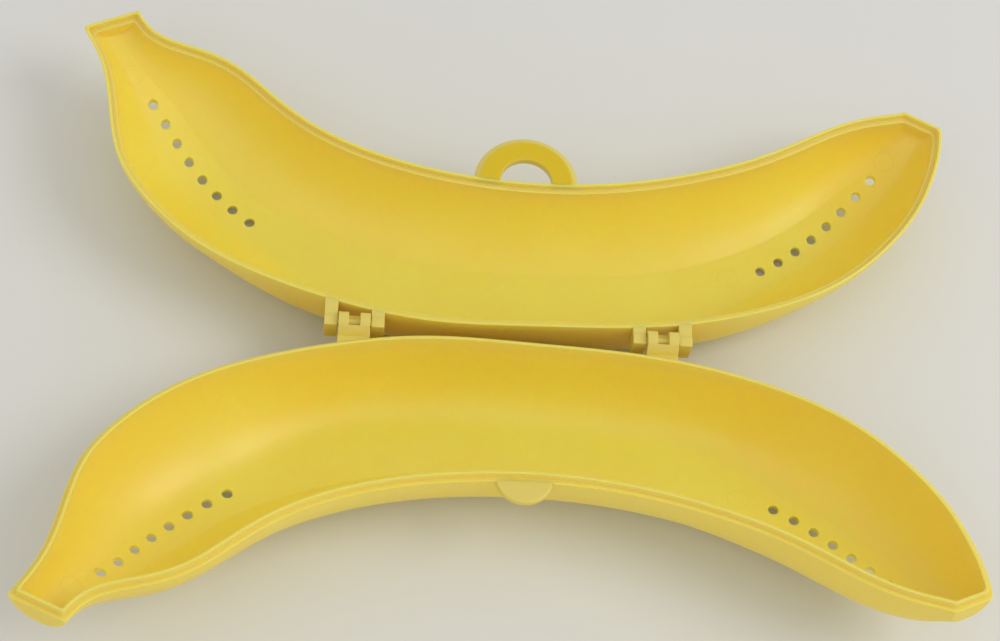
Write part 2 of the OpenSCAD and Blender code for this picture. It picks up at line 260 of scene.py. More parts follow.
def ventCentres(inset):
    # share and across of each hole on a skin, by Newton steps to its plan place beside the spine
    rib = ribAt(ventDistances)
    lean = np.radians(rib[:, 2])
    goal = rib[:, :2] + ventShifts[:, None] * np.stack([np.sin(lean), np.cos(lean)], 1)
    share, across = ventDistances / spineLength, np.zeros(len(ventDistances))

    def plan(s):
        hinge, inner, _ = insetRims(inset, s)
        return (hinge + inner) / 2, (inner - hinge) / 2

    small = ventForm["newtonShare"]
    for _ in range(ventForm["newtonSteps"]):
        middle, half = plan(share)
        nextMiddle, nextHalf = plan(share + small)
        miss = goal - middle - half * across[:, None]
        alongS = (nextMiddle + nextHalf * across[:, None] - middle - half * across[:, None]) / small
        turn = alongS[:, 0] * half[:, 1] - alongS[:, 1] * half[:, 0]
        share = share + (miss[:, 0] * half[:, 1] - miss[:, 1] * half[:, 0]) / turn
        across = across + (alongS[:, 0] * miss[:, 1] - alongS[:, 1] * miss[:, 0]) / turn
    return share, across


endForm = {
    "round": 0.9,
    "turns": 4,
}


def endTurns():
    # rows that turn an end in by a quarter circle: each one's share past the end, radius (1 - sin), less
    # what its own inset takes off, and its further inset, radius (1 - cos)
    angle = np.radians(np.linspace(90, 0, endForm["turns"], endpoint=False))
    past = endForm["round"] * (np.cos(angle) - np.sin(angle))
    return past / spineLength, endForm["round"] * (1 - np.cos(angle))


def stationShares(centres):
    # even steps within each hole's block, between the holes, and out to the ends
    halfBlock = ventForm["blockHalf"] / spineLength
    first = endForm["round"] / spineLength
    blocks = np.stack([centres - halfBlock, centres + halfBlock], 1).ravel()
    edges = np.concatenate([[first], blocks, [1 - first]])
    cells = [ventForm["endCells"][0]]
    for k in range(len(centres)):
        gap = ventForm["middleCells"] if k == ventForm["count"] - 1 else ventForm["betweenCells"]
        last = k == len(centres) - 1
        cells += [ventForm["blockCells"], ventForm["endCells"][1] if last else gap]
    steps = [np.linspace(edges[k], edges[k + 1], c, endpoint=False) for k, c in enumerate(cells)]
    firsts = np.cumsum([0] + cells)[1::2][: len(centres)]
    return np.concatenate(steps + [[1 - first]]), firsts


# stops across the grid: hinge wall -4 to -3, its crease to -2, floor to -1, the vents' block to 1, and back out
columnStops = np.array([-4, -3, -2, -1, 1, 2, 3, 4])


def acrossColumns():
    # places of the columns between the stops, and the first one of the vents' block
    sides = [np.linspace(k - 4, k - 3, c, endpoint=False) for k, c in enumerate(ventForm["columnCells"])]
    side = np.concatenate(sides)
    block = np.linspace(-1, 1, ventForm["blockCells"] + 1)
    return np.concatenate([side, block, -side[::-1]]), len(side)


def acrossAt(share, columns, shift):
    # each row's across at the columns: straight between the stops, and cosine steps up the walls
    hingeCrease, innerCrease = creasesAt(share)
    soft, block, rim = ventForm["creaseAcross"], ventForm["blockAcross"], np.ones_like(share)
    stops = np.stack([
        -rim, -hingeCrease - soft, soft - hingeCrease, shift - block,
        shift + block, innerCrease - soft, innerCrease + soft, rim,
    ], 1)
    k = np.clip(np.searchsorted(columnStops, columns, side="right") - 1, 0, len(columnStops) - 2)
    way = (columns - columnStops[k]) / (columnStops[k + 1] - columnStops[k])
    way = np.where(columns < -3, 1 - np.cos(way * math.pi / 2), way)
    way = np.where(columns > 3, np.sin(way * math.pi / 2), way)
    return stops[:, k] * (1 - way) + stops[:, k + 1] * way


def ventedGrid(inset, top):
    # the skin's grid with each block of cells pushed out to a circle, fading to nothing at the reach
    centreShares, centreAcross = ventCentres(inset)
    shares, firstRows = stationShares(centreShares)
    columns, firstColumn = acrossColumns()
    # the middle column runs through the holes
    even = ventForm["evenRun"] / spineLength
    stops = np.concatenate([[0], np.stack([centreShares - even, centreShares + even], 1).ravel(), [1]])
    shift = np.interp(shares, stops, np.concatenate([[0], np.repeat(centreAcross, 2), [0]]))
    across = acrossAt(shares, columns, shift)
    share = np.broadcast_to(shares[:, None], across.shape)
    hinge, inner, _ = insetRims(inset, share)
    halfWidth = np.linalg.norm(inner - hinge, axis=-1) / 2
    newShare, newAcross = share.copy(), across.copy()
    size = ventForm["blockHalf"]
    for s in centreShares:
        u = (share - s) * spineLength
        w = (across - shift[:, None]) * halfWidth
        sideHalf = ventForm["blockAcross"] * halfWidth
        out = np.maximum(np.maximum(np.abs(u) / size, np.abs(w) / sideHalf), ventForm["least"])
        edgeU, edgeW = u / out, w / out  # the point of the block's edge in the same direction
        pull = ventForm["radius"] / np.maximum(np.hypot(edgeU, edgeW), ventForm["least"]) - 1
        fade = eased(out, (ventForm["reach"], 1))
        newShare += fade * edgeU * pull / spineLength
        newAcross += fade * edgeW * pull / halfWidth
    skin = skinPoints(newShare, newAcross, inset, top)
    row = np.ones(len(columns))
    starts = [skinPoints(s * row, across[0], inset + more, top) for s, more in zip(*endTurns())]
    ends = [skinPoints(1 - s * row, across[-1], inset + more, top) for s, more in zip(*endTurns())]
    rows = np.concatenate([np.stack(starts), skin, np.stack(ends[::-1])])
    return rows, shares, firstRows + endForm["turns"], firstColumn


def addMesh(name, points, faces, weights=None):
    # weights is a pair of arrays: vertex pairs, and the share of the bevel that each edge takes
    mesh = bpy.data.meshes.new(name)
    mesh.from_pydata(points.tolist(), [], faces)
    mesh.update(calc_edges=True)
    mesh.polygons.foreach_set("use_smooth", np.ones(len(mesh.polygons), bool))
    if weights is not None:
        pairs, shares = weights
        ends = np.zeros(2 * len(mesh.edges), np.int64)
        mesh.edges.foreach_get("vertices", ends)
        ends = np.sort(ends.reshape(-1, 2), 1)
        pairs = np.sort(pairs, 1)
        count = len(points)
        keys = pairs[:, 0] * count + pairs[:, 1]
        order = np.argsort(keys)
        found = ends[:, 0] * count + ends[:, 1]
        at = np.clip(np.searchsorted(keys[order], found), 0, len(keys) - 1)
        hit = keys[order][at] == found
        layer = mesh.attributes.new("bevel_weight_edge", "FLOAT", "EDGE")
        layer.data.foreach_set("value", np.where(hit, shares[order][at], 0).astype(np.float32))
    piece = bpy.data.objects.new(name, mesh)
    bpy.context.scene.collection.objects.link(piece)
    return piece


def paintHighlight(piece, shares):
    # how much of the painted highlight, a paler tone for light caught on edges and tops, each point takes
    layer = piece.data.attributes.new("paintedHighlightShare", "FLOAT", "POINT")
    layer.data.foreach_set("value", shares.astype(np.float32))


def finishPiece(piece, body, nodes, material):
    # material, the body that carries the piece, the nodes that it stands for, and its slot
    piece.data.materials.append(material)
    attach(piece, body)
    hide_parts(*nodes)
    return piece


def weightedNormals(piece):
    # larger faces keep flat shading, and the small rounded ones blend between them
    normals = piece.modifiers.new("evenNormals", "WEIGHTED_NORMAL")
    normals.mode = "FACE_AREA"
    normals.keep_sharp = True


def roundEdges(piece, width, angle=None):
    # a round on the edges that carry a weight, or on those sharper than an angle
    rounding = piece.modifiers.new("roundedEdges", "BEVEL")
    rounding.limit_method = "WEIGHT" if angle is None else "ANGLE"
    if angle is not None:
        rounding.angle_limit = math.radians(angle)
    rounding.width = width * mm
    rounding.segments = shellForm["roundSteps"]
    rounding.use_clamp_overlap = False
    weightedNormals(piece)


shellForm = {
    "stepWidth": 1.2,
    "tongueHeight": 1.6,
    "tongueDraft": 0.3,  # how far the tongue leans in at its top
    "rimTop": -0.15,
    "lipWidth": 0.9,
    "rebateZ": -1.9,
    "rimRound": 0.26,
    "holeRound": 0.16,
    "roundSteps": 3,
    "highlightRun": 2.5,  # drop over which the rim's painted highlight falls to about a third
}


def loopPairs(loop):
    # the edges of a closed loop, as pairs of points
    return np.stack([loop, np.roll(loop, -1)], 1)


def loopFaces(outside, inside):
    # quads between two loops of as many points
    return np.stack([outside, np.roll(outside, -1), np.roll(inside, -1), inside], 1)


def rimRing(inset, shares):
    # both rims moved in, with the rows that turn the ends in, as one loop in plan
    turns = list(zip(*endTurns()))
    starts = [insetRims(inset + more, np.array([s]))[:2] for s, more in turns]
    ends = [insetRims(inset + more, np.array([1 - s]))[:2] for s, more in turns[::-1]]
    rows = starts + [insetRims(inset, shares)[:2]] + ends
    hingeSide, innerSide = (np.concatenate([row[side] for row in rows]) for side in (0, 1))
    return np.concatenate([hingeSide, innerSide[::-1]])


def shellPiece(name, ringInsets, ringHeights, innerTop, place, flipped):
    # outer skin, rim rings from the outside in, inner skin, flat ends, and a wall round each vent
    wall = caseForm["wall"]
    outer, outerShares, firstRows, firstColumn = ventedGrid(0.0, shellForm["rimTop"])
    inner, innerShares, _, _ = ventedGrid(wall, innerTop)
    rows, columns = outer.shape[:2]
    count = rows * columns
    outerIndex = np.arange(count).reshape(rows, columns)
    innerIndex = outerIndex + count
    points = [outer.reshape(-1, 3), inner.reshape(-1, 3)]
    loops = [np.concatenate([outerIndex[:, 0], outerIndex[::-1, -1]])]
    start = 2 * count
    for inset, height in zip(ringInsets, ringHeights):
        ring = rimRing(inset, outerShares + (innerShares - outerShares) * inset / wall)
        points.append(np.column_stack([ring, np.full(len(ring), height)]))
        loops.append(start + np.arange(len(ring)))
        start += len(ring)
    loops.append(np.concatenate([innerIndex[:, 0], innerIndex[::-1, -1]]))
    points = np.concatenate(points)

    # cells of the grid that stay, outside the vents' blocks
    keep = np.ones((rows - 1, columns - 1), bool)
    block = ventForm["blockCells"]
    for row in firstRows:
        keep[row : row + block, firstColumn : firstColumn + block] = False
    corner = outerIndex[:-1, :-1][keep]
    outerCells = np.stack([corner, corner + 1, corner + columns + 1, corner + columns], 1)
    innerCells = outerCells[:, ::-1] + count
    quads = [outerCells, innerCells]
    quads += [loopFaces(a, b) for a, b in zip(loops[:-1], loops[1:])]

    # loop round one block, and the strip that joins the two skins there
    side = np.arange(block)
    ringRow = np.concatenate([side * 0, side, side * 0 + block, block - side])
    ringColumn = np.concatenate([block - side, side * 0, side, side * 0 + block])
    holeLoops = [outerIndex[row + ringRow, firstColumn + ringColumn] for row in firstRows]
    quads += [loopFaces(loop + count, loop) for loop in holeLoops]
    faces = np.concatenate(quads).tolist()
    faces += [outerIndex[0, ::-1].tolist(), outerIndex[-1].tolist()]
    faces += [innerIndex[0].tolist(), innerIndex[-1, ::-1].tolist()]

    # rounded edges: rim loops and the vents
    bothSkins = [loop + shift for loop in holeLoops for shift in (0, count)]
    groups = [(loopPairs(loop), shellForm["rimRound"]) for loop in loops]
    groups += [(loopPairs(loop), shellForm["holeRound"]) for loop in bothSkins]
    pairs = np.concatenate([pair for pair, _ in groups])
    shares = np.concatenate([np.full(len(pair), size) for pair, size in groups]) / shellForm["rimRound"]

    # points inside the vents are left out
    flat = np.concatenate([np.ravel(f) for f in faces])
    used = np.unique(flat)
    renumber = np.full(len(points), -1)
    renumber[used] = np.arange(len(used))
    faces = [renumber[f][::-1].tolist() if flipped else renumber[f].tolist() for f in faces]
    piece = addMesh(name, place(points[used]), faces, (renumber[pairs], shares))
    # the painted highlight, a paler tone for light on the rim, fades down from the inner skin's top, and
    # outside from the tongue's height
    highlightTop = np.where(np.arange(len(points)) < count, shellForm["tongueHeight"], innerTop)
    paintHighlight(piece, np.exp((points[:, 2] - highlightTop) / shellForm["highlightRun"]).clip(0, 1)[used])
    roundEdges(piece, shellForm["rimRound"])
    print("shell:", name, len(used), "points,", len(faces), "faces")
    return piece


plasticForm = {
    # the clouds' two tones, how strong the painted highlight on edges and tops is, the gloss, and how much
    # light goes into the plastic
    "shell": {
        "tones": ((0.93, 0.735, 0.08), (0.94, 0.765, 0.1)),
        "edge": 0.7,
        "specular": 0.7,
        "scatter": 1.0,
    },
    # trim: a deeper copy of the case plastic, painted shade for its lower and end faces; its tops get the
    # painted highlight
    "trim": {
        "tones": ((0.88, 0.64, 0.035), (0.90, 0.67, 0.045)),
        "edge": 0.75,
        "specular": 0.7,
        "scatter": 0.2,
    },
    # loop: a deeper golden copy of the case plastic, painted shade for the thin loop
    "loop": {
        "tones": ((0.74, 0.52, 0.007), (0.77, 0.55, 0.014)),
        "edge": 0.9,
        "specular": 0.35,
        "scatter": 0.2,
    },
    # painted highlight tone: the paler colour that stands for light caught on rims, bevels and tops
    "paintedHighlightTone": (0.79, 0.67, 0.17),
    "roughness": (0.36, 0.46),
    "scatterScale": 0.0022,
    "scatterReach": (1.0, 0.74, 0.12),
    "ior": 1.49,
    "cloudNoise": (26.0, 4.0),  # scale and detail, as in the other noises
    "cloudSpan": (0.35, 0.65),  # noise between which the clouds go from one tone to the other
    "scuffStretch": (90, 900, 900),  # drawn out along the case
    "scuffNoise": (1.0, 5.0),
    "patchNoise": (60.0, 2.0),
    "glossSpan": (0.6, 1.4),  # sum of scuffs and patches between which the roughness grows
    "grainNoise": (2600.0, 2.0),
    "grainDepth": 0.000012,  # metres, as the marks' sizes
    "markRadius": 0.003,
    "markWidth": 0.00022,
    "markDepth": 0.00003,
    # painted shade in the ejector circles' grooves: how much, and its tone
    "markPaintedShade": 0.18,
    "markShadeTone": (0.6, 0.45, 0.03),
}


def feed(tree, socket, value):
    # links an output, or sets a plain value
    if isinstance(value, bpy.types.NodeSocket):
        tree.links.new(value, socket)
    else:
        socket.default_value = value


def nodeOf(tree, kind, **sockets):
    # a node with its inputs fed by name, an underscore standing for a space
    node = tree.nodes.new(kind)
    for name, value in sockets.items():
        feed(tree, node.inputs[name.replace("_", " ")], value)
    return node


def mathOf(tree, operation, *values):
    # the result of a sum, product or other step on one or two values
    node = tree.nodes.new("ShaderNodeMath")
    node.operation = operation
    for socket, value in zip(node.inputs, values):
        feed(tree, socket, value)
    return node.outputs[0]


def mixOf(tree, share, firstTone, secondTone):
    # a share of the way from one tone to another; each is an output or three plain numbers
    node = tree.nodes.new("ShaderNodeMix")
    node.data_type = "RGBA"
    feed(tree, node.inputs[0], share)
    for socket, tone in ((node.inputs[6], firstTone), (node.inputs[7], secondTone)):
        feed(tree, socket, (*tone, 1) if isinstance(tone, tuple) else tone)
    return node.outputs[2]


def noiseOf(tree, spot, scale, detail):
    # a noise's value at a place
    return nodeOf(tree, "ShaderNodeTexNoise", Vector=spot, Scale=scale, Detail=detail).outputs["Fac"]


def spreadOf(tree, value, span, goal=(0.0, 1.0)):
    # a value's way across a span, carried over to a goal's two ends and held there
    ends = dict(From_Min=span[0], From_Max=span[1], To_Min=goal[0], To_Max=goal[1])
    return nodeOf(tree, "ShaderNodeMapRange", Value=value, **ends).outputs["Result"]


def satinPlastic(name, kind, marks=()):
    # moulded plastic: cloudy tone, a painted highlight on edges and tops, fine grain, drawn-out wear in the
    # gloss, ejector circles with painted shade
    finish = plasticForm[kind]
    material = bpy.data.materials.new(name)
    material.use_nodes = True
    tree = material.node_tree
    tree.nodes.clear()
    spot = tree.nodes.new("ShaderNodeTexCoord").outputs["Object"]

    # tone: clouds, and a painted highlight that turns the tone paler towards the edges and tops
    cloud = spreadOf(tree, noiseOf(tree, spot, *plasticForm["cloudNoise"]), plasticForm["cloudSpan"])
    rim = tree.nodes.new("ShaderNodeAttribute")
    rim.attribute_name = "paintedHighlightShare"
    highlightShare = mathOf(tree, "MULTIPLY", rim.outputs["Fac"], finish["edge"])
    tone = mixOf(tree, highlightShare, mixOf(tree, cloud, *finish["tones"]), plasticForm["paintedHighlightTone"])

    # gloss: soft patches and fine scuffs drawn out along the case
    stretch = nodeOf(tree, "ShaderNodeMapping", Vector=spot, Scale=plasticForm["scuffStretch"])
    scuff = noiseOf(tree, stretch.outputs["Vector"], *plasticForm["scuffNoise"])
    patch = noiseOf(tree, spot, *plasticForm["patchNoise"])
    wear = mathOf(tree, "ADD", scuff, patch)
    gloss = spreadOf(tree, wear, plasticForm["glossSpan"], plasticForm["roughness"])

    # height: fine moulded grain, less the ejector pins' circles, whose grooves also get painted shade, a little
    # darker
    grain = noiseOf(tree, spot, *plasticForm["grainNoise"])
    height = mathOf(tree, "MULTIPLY", grain, plasticForm["grainDepth"])
    for mark in marks:
        apart = tree.nodes.new("ShaderNodeVectorMath")
        apart.operation = "DISTANCE"
        feed(tree, apart.inputs[0], spot)
        feed(tree, apart.inputs[1], mark)
        off = mathOf(tree, "SUBTRACT", apart.outputs["Value"], plasticForm["markRadius"])
        ring = spreadOf(tree, mathOf(tree, "ABSOLUTE", off), (0.0, plasticForm["markWidth"]), (1.0, 0.0))
        height = mathOf(tree, "SUBTRACT", height, mathOf(tree, "MULTIPLY", ring, plasticForm["markDepth"]))
        # painted shade along the ring
        shade = mathOf(tree, "MULTIPLY", ring, plasticForm["markPaintedShade"])
        tone = mixOf(tree, shade, tone, plasticForm["markShadeTone"])
    bump = nodeOf(tree, "ShaderNodeBump", Height=height, Strength=1.0, Distance=1.0)

    shader = nodeOf(
        tree, "ShaderNodeBsdfPrincipled",
        Base_Color=tone, Roughness=gloss, Normal=bump.outputs["Normal"],
        IOR=plasticForm["ior"], Specular_IOR_Level=finish["specular"],
        Subsurface_Weight=finish["scatter"], Subsurface_Radius=plasticForm["scatterReach"],
        Subsurface_Scale=plasticForm["scatterScale"],
    )
    nodeOf(tree, "ShaderNodeOutputMaterial", Surface=shader.outputs["BSDF"])
    return material


# ejector pins on the inner skin: share along the case, and across it
ejectorPins = [(0.04, -0.19), (0.746, -0.01), (0.965, 0.36)]


def markPlaces(place, innerTop):
    # the pins' middles on a shell's inner skin
    share, across = np.array(ejectorPins).T
    return place(skinPoints(share, across, caseForm["wall"], innerTop)).tolist()


baseRings = (
    [shellForm["stepWidth"], shellForm["stepWidth"] + shellForm["tongueDraft"]],
    [shellForm["rimTop"], shellForm["tongueHeight"]],
)
lidRings = ([shellForm["lipWidth"], shellForm["lipWidth"]], [shellForm["rimTop"], shellForm["rebateZ"]])
baseShell = shellPiece("baseShell", *baseRings, shellForm["tongueHeight"], placeBase, True)
lidShell = shellPiece("lidShell", *lidRings, shellForm["rebateZ"], placeLid, False)
basePlastic = satinPlastic("basePlastic", "shell", markPlaces(placeBase, shellForm["tongueHeight"]))
lidPlastic = satinPlastic("lidPlastic", "shell", markPlaces(placeLid, shellForm["rebateZ"]))
trimPlastic = satinPlastic("trimPlastic", "trim")
loopShadedPlastic = satinPlastic("loopShadedPlastic", "loop")
finishPiece(baseShell, "base", ["base_shell"], basePlastic)
finishPiece(lidShell, "lid", ["lid_shell"], lidPlastic)
print("plastics done")


def roundedOutline(corners, radii, steps=6):
    # each corner gives way to an arc of its radius between its two tangent points
    p = np.array(corners, float)
    r = np.array(radii, float)[:, None]
    before = np.roll(p, 1, 0) - p
    after = np.roll(p, -1, 0) - p
    before /= np.linalg.norm(before, axis=1, keepdims=True)
    after /= np.linalg.norm(after, axis=1, keepdims=True)
    angle = np.arccos(np.sum(before * after, 1, keepdims=True))
    toMiddle = before + after
    toMiddle /= np.linalg.norm(toMiddle, axis=1, keepdims=True)
    centre = p + toMiddle * r / np.sin(angle / 2)
    first = p + before * r / np.tan(angle / 2) - centre
    last = p + after * r / np.tan(angle / 2) - centre
    sweep = (math.pi - angle)[:, None]
    u = np.linspace(0, 1, steps + 1)[None, :, None]
    arc = (np.sin((1 - u) * sweep) * first[:, None] + np.sin(u * sweep) * last[:, None]) / np.sin(sweep)
    return (centre[:, None] + arc).reshape(-1, 2)


def sweptFaces(rows, columns, wrapped, openProfile=False):
    # quads between rows of points that each run along a profile; rows that aren't wrapped get flat ends,
    # and an open profile starts and ends on the axis
    index = np.arange(rows * columns).reshape(rows, columns)
    following = np.roll(index, -1, 0)
    a, b = (index, following) if wrapped else (index[:-1], following[:-1])
    quads = np.stack([a, np.roll(a, -1, 1), np.roll(b, -1, 1), b], -1)
    faces = (quads[:, :-1] if openProfile else quads).reshape(-1, 4).tolist()
    if not wrapped:
        faces += [index[0].tolist(), index[-1, ::-1].tolist()]
    return faces


mergeWithin = 1e-7  # metres


def cleanSolid(piece, cutAt=None, cutAway=None):
    # merges doubles, cuts at a plane and closes the cut, and turns every face outwards
    work = bmesh.new()
    work.from_mesh(piece.data)
    bmesh.ops.remove_doubles(work, verts=work.verts, dist=mergeWithin)
    if cutAt is not None:
        parts = work.verts[:] + work.edges[:] + work.faces[:]
        cut = bmesh.ops.bisect_plane(work, geom=parts, plane_co=cutAt, plane_no=cutAway, clear_outer=True)
        rim = [e for e in cut["geom_cut"] if isinstance(e, bmesh.types.BMEdge)]
        filled = bmesh.ops.holes_fill(work, edges=rim)["faces"]
        for edge in {e for face in filled for e in face.edges}:
            edge.smooth = False
    bmesh.ops.recalc_face_normals(work, faces=work.faces)
    for face in work.faces:
        face.smooth = True
    work.to_mesh(piece.data)
    work.free()


catchForm = {
    "x": 4.2,
    "tabInset": 1.2,
    "tabRadius": 7.9,
    "tabThick": 1.8,
    "tabRound": 0.55,
    "holeRadius": 7.7,
    "loopInset": 0.0,
    "loopRadius": 15.4,
    "loopThick": 2.6,
    "bevelDrop": 1.0,
    "bevelWidth": 2.0,
    "bevelRounds": (0.5, 1.2),  # at the bevel's outer and inner edge
    "bevelHighlightDrop": 0.3,  # drop at which the bevel has its full painted highlight
    "loopRound": 0.4,
    "loopStep": 0.5,
    "sink": 0.02,  # under the rim's own face
    "root": 0.8,  # how far the root is set into the wall
    "footRoot": 0.5,  # and each foot of the loop
    "turns": 144,
    "pointed": 1e-6,  # round of a corner on the axis
    "rimSteps": 1501,
}
denseSpine = np.linspace(0, spineLength, catchForm["rimSteps"])
denseHinge, denseInner = rimsAt(denseSpine)
catchRim = np.interp(catchForm["x"], denseInner[:, 0], denseInner[:, 1])


def turnedProfile(profile, inset):
    # a profile of radius and height carried round a full circle
    angle = np.linspace(0, 2 * math.pi, catchForm["turns"], endpoint=False)[:, None]
    x = catchForm["x"] + profile[None, :, 0] * np.cos(angle)
    d = catchRim - inset + profile[None, :, 0] * np.sin(angle)
    z = np.broadcast_to(profile[None, :, 1], x.shape)
    return np.stack([x, d, z], -1)


def finerOutline(outline, longest):
    # splits each long stretch of a closed outline into even parts
    step = np.roll(outline, -1, 0) - outline
    parts = np.maximum(1, np.ceil(np.linalg.norm(step, axis=1) / longest)).astype(int)
    first = np.repeat(np.cumsum(parts) - parts, parts)
    way = (np.arange(parts.sum()) - first) / np.repeat(parts, parts)
    return np.repeat(outline, parts, axis=0) + way[:, None] * np.repeat(step, parts, axis=0)


def rimCut(x, root, place):
    # a point a little inside the inner rim, and the way into the shell, square to the rim there
    near, at, far = np.interp([x - 1, x, x + 1], denseInner[:, 0], denseInner[:, 1])
    ends = place(np.array([[x, at - root, 0], [x + (far - near) / 2, at - root - 1, 0]]))
    return ends[0], ends[1] - ends[0]


def catchPiece(name, profile, edges, inset, place, closedMiddle, feet=()):
    # a turned solid cut off in the wall, and once more at each foot, along the rim there
    rows = turnedProfile(profile, inset)
    faces = sweptFaces(*rows.shape[:2], True, closedMiddle)
    piece = addMesh(name, place(rows.reshape(-1, 3)), faces)
    # painted highlight share for each point of the profile
    paintHighlight(piece, np.tile(edges, len(rows)))
    cleanSolid(piece, *rimCut(catchForm["x"], catchForm["root"], place))
    for x in feet:
        cleanSolid(piece, *rimCut(x, catchForm["footRoot"], place))
    weightedNormals(piece)
    return piece


catchTop = shellForm["rimTop"] - catchForm["sink"]
tabLow = catchTop - catchForm["tabThick"]
tabReach, pointed = catchForm["tabRadius"], catchForm["pointed"]
tabCorners = [(0, tabLow), (tabReach, tabLow), (tabReach, catchTop), (0, catchTop)]
tabOutline = roundedOutline(tabCorners, [pointed, catchForm["tabRound"], catchForm["tabRound"], pointed])
# painted highlight: paler up the tab's edge to its top, while the underside keeps the deeper tone
tabHighlight = np.clip((tabOutline[:, 1] - tabLow) / catchForm["tabThick"], 0, 1)
fingerTab = catchPiece("fingerTab", tabOutline, tabHighlight, catchForm["tabInset"], placeBase, True)
finishPiece(fingerTab, "base", ["finger_tab"], trimPlastic)

loopLow = catchTop - catchForm["loopThick"]
loopCorners = [
    (catchForm["holeRadius"], loopLow),
    (catchForm["loopRadius"], loopLow),
    (catchForm["loopRadius"], catchTop - catchForm["bevelDrop"]),
    (catchForm["loopRadius"] - catchForm["bevelWidth"], catchTop),
    (catchForm["holeRadius"], catchTop),
]
loopSoft = catchForm["loopRound"]
loopRounds = [loopSoft, loopSoft, *catchForm["bevelRounds"], loopSoft]
loopOutline = finerOutline(roundedOutline(loopCorners, loopRounds), catchForm["loopStep"])
# painted highlight: paler on the bevel and the faces below it, while the flat top keeps the deeper tone
loopHighlight = np.clip((catchTop - loopOutline[:, 1]) / catchForm["bevelHighlightDrop"], 0, 1)
footOff = (catchForm["holeRadius"] + catchForm["loopRadius"]) / 2
feet = (catchForm["x"] - footOff, catchForm["x"] + footOff)
carryLoop = catchPiece("carryLoop", loopOutline, loopHighlight, catchForm["loopInset"], placeLid, False, feet)
finishPiece(carryLoop, "lid", ["carry_loop"], loopShadedPlastic)
print("tab and loop done")

hingeForm = {
    "spacing": 88,
    "pinRadius": 1.1,
    "pinClearance": 0.05,
    "pinFillet": 0.35,
    "pinInto": 0.2,
    "clipWidth": 9,
    "window": 3.2,
    "hookWall": 1.9,
    "mouth": 1.7,
    "armDepth": 5,
    "lugWidth": 3.7,
    "lugReach": 1.5,
    "lugCover": 0.2,
    "lugEndDepth": 7.2,
    "lugDepth": 7,
    "lugRounds": (0.3, 0.45, 0.05, 0.05, 0.8, 0.8),  # from the top of the square end, down and round
    "lugGap": 0.3,
    "root": 0.6,  # how far a root is set into the wall
    "flare": 0.1,  # how far a root widens at the wall
    "flareRun": 1.2,
    "tuck": 0.2,  # how far a hook's foot goes into the arm
    "rampAngle": 30,  # above level, where the arm's top leaves the hook
    "armLeave": 56,  # below level, where the arm's underside leaves the hook
    "edgeRound": 0.16,
    "edgeAngle": 40,  # edges sharper than this are rounded
    "highlightFrom": -2.0,  # heights from the pin between which the painted highlight grows, lit tops over shaded lower faces
    "highlightTo": 0.5,
    "shortArc": 4,  # points on each arc
    "underArc": 5,
    "lipArc": 16,
    "boreArc": 33,
    "hookArc": 41,
    "pinSteps": 7,
    "pinTurns": 48,
}


def prismRows(outlineAt, x0, x1):
    # a profile of d and z from x0 to x1, fitted to the wall at each end; both ends widen towards the wall
    rows = []
    for x, sign in ((x0, -1), (x1, 1)):
        wallD = np.interp(x, denseHinge[:, 0], denseHinge[:, 1])
        outline = outlineAt(wallD)
        near = np.clip((outline[:, 0] - wallD) / hingeForm["flareRun"] + 1, 0, 1)
        rows.append(np.column_stack([x + sign * hingeForm["flare"] * near**2, outline]))
    return np.stack(rows)


def prismPiece(name, stretches, place):
    # several profiles, each with its own stretch of x, in one piece
    points, faces, start = [], [], 0
    for outlineAt, x0, x1 in stretches:
        rows = prismRows(outlineAt, x0, x1)
        points.append(rows.reshape(-1, 3))
        faces += [[k + start for k in f] for f in sweptFaces(*rows.shape[:2], False)]
        start += rows.shape[0] * rows.shape[1]
    piece = addMesh(name, place(np.concatenate(points)), faces)
    cleanSolid(piece)
    return piece


def lugOutline(wallD):
    # an ear round the pin's end: flat top, deep square end, and a root in the wall
    rise, over = standing["pinRise"], hingeForm["pinRadius"] + hingeForm["lugCover"]
    root = wallD + hingeForm["root"]
    corners = [
        (-hingeForm["lugReach"], over - rise),
        (-hingeForm["lugReach"], -hingeForm["lugEndDepth"]),
        (root, -hingeForm["lugDepth"]),
        (root, catchTop),
        (caseForm["rimToPin"], catchTop),
        (hingeForm["pinRadius"], over - rise),
    ]
    return roundedOutline(corners, hingeForm["lugRounds"])


hookRadius = hingeForm["pinRadius"] + hingeForm["pinClearance"] + hingeForm["hookWall"]
boreRadius = hingeForm["pinRadius"] + hingeForm["pinClearance"]
windowDrop = hingeForm["pinRadius"] / 2  # the window's floor under the pin's axis


def fromUpright(radius, d):
    # angle below the axis at which a circle reaches d
    return math.degrees(math.acos(d / radius))


def fromLevel(radius, drop):
    # angle from level at which a circle has come down by a drop
    return math.degrees(math.asin(drop / radius))


def arcPoints(radius, first, last, count):
    # points round the pin's axis, angles in degrees
    angle = np.radians(np.linspace(first, last, count))
    return np.stack([radius * np.cos(angle), standing["pinRise"] + radius * np.sin(angle)], 1)


outerLevel, boreLevel = fromLevel(hookRadius, windowDrop), fromLevel(boreRadius, windowDrop)
outerMouth = fromUpright(hookRadius, hingeForm["mouth"] / 2)
boreMouth = fromUpright(boreRadius, hingeForm["mouth"] / 2)
windowEnd = fromUpright(hookRadius, caseForm["rimToPin"])
windowFloor = standing["pinRise"] - windowDrop


